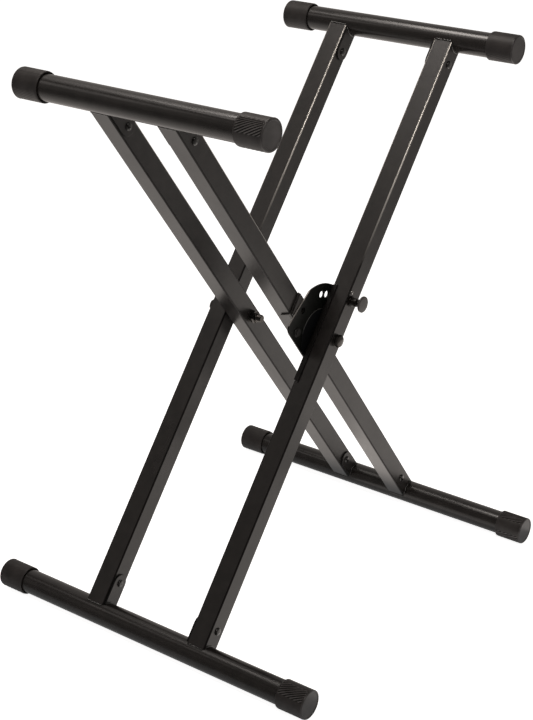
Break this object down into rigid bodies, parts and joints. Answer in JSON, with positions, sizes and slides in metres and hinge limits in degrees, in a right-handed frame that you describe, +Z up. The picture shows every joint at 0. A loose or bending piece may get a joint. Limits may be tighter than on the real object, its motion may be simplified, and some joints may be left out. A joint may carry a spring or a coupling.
{
  "type": "keyboard stand",
  "caption": "Folding double X keyboard stand: crossed square legs, round bearer tubes with end caps, pivots, and a sprung plunger that locks the opening angle in a sector plate.",
  "frame": {"origin": "on the floor, midway between the lower tubes and midway along them, under the pivots", "axes": "+Z up; the bearer tubes run along Y with the lock on the -Y side; the legs open along X"},
  "size_m": [0.6686, 0.585, 0.8446],
  "materials": {
    "satin_black": "satin black powder coat",
    "gloss_black": "gloss black enamel",
    "cap_plastic": "matte black moulded cap",
    "grey_plastic": "satin dark grey",
    "black_zinc": "black zinc plate",
    "zinc": "dull zinc plate",
    "nylon": "plain black"
  },
  "bodies": {
    "outer_frame": {"back_pivot_bolt": "zinc", "back_pivot_head_washer": "zinc", "back_pivot_nut": "zinc", "back_pivot_nut_washer": "zinc", "back_pivot_spacer": "nylon", "front_pivot_bolt": "zinc", "front_pivot_head_washer": "zinc", "front_pivot_nut": "zinc", "front_pivot_nut_washer": "zinc", "lock_strap": "satin_black", "lower_left_cap_back": "cap_plastic", "lower_left_cap_front": "cap_plastic", "lower_left_rivet_back": "black_zinc", "lower_left_rivet_front": "black_zinc", "lower_left_tab_back": "satin_black", "lower_left_tab_front": "satin_black", "lower_left_tube": "gloss_black", "outer_leg_back": "satin_black", "outer_leg_front": "satin_black", "plunger_barrel": "black_zinc", "plunger_nut": "black_zinc", "plunger_spring": "zinc", "upper_right_cap_back": "cap_plastic", "upper_right_cap_front": "cap_plastic", "upper_right_rivet_back": "black_zinc", "upper_right_rivet_front": "black_zinc", "upper_right_tab_back": "satin_black", "upper_right_tab_front": "satin_black", "upper_right_tube": "gloss_black"},
    "inner_frame": {"inner_leg_back": "satin_black", "inner_leg_front": "satin_black", "lock_bracket": "satin_black", "lock_disc": "nylon", "lock_packer": "satin_black", "lock_sector_plate": "gloss_black", "lock_stop_rivet": "black_zinc", "lower_right_cap_back": "cap_plastic", "lower_right_cap_front": "cap_plastic", "lower_right_rivet_back": "black_zinc", "lower_right_rivet_front": "black_zinc", "lower_right_tab_back": "satin_black", "lower_right_tab_front": "satin_black", "lower_right_tube": "gloss_black", "upper_left_cap_back": "cap_plastic", "upper_left_cap_front": "cap_plastic", "upper_left_rivet_back": "black_zinc", "upper_left_rivet_front": "black_zinc", "upper_left_tab_back": "satin_black", "upper_left_tab_front": "satin_black", "upper_left_tube": "gloss_black"},
    "lock_pin": {"plunger_clip": "zinc", "plunger_knob": "grey_plastic", "plunger_pin": "zinc"}
  },
  "joints": [
    {"name": "fold", "type": "hinge", "parent": "outer_frame", "child": "inner_frame", "pos_m": [0, 0, 0.4223], "axis": [0, 1, 0], "range_deg": [-24.8, 69.9]},
    {"name": "lock_pin_slide", "type": "slide", "parent": "outer_frame", "child": "lock_pin", "axis": [0, -1, 0], "range_m": [-0.0063, 0.004], "stiffness_N_per_m": 600, "springref_m": -0.0063}
  ]
}
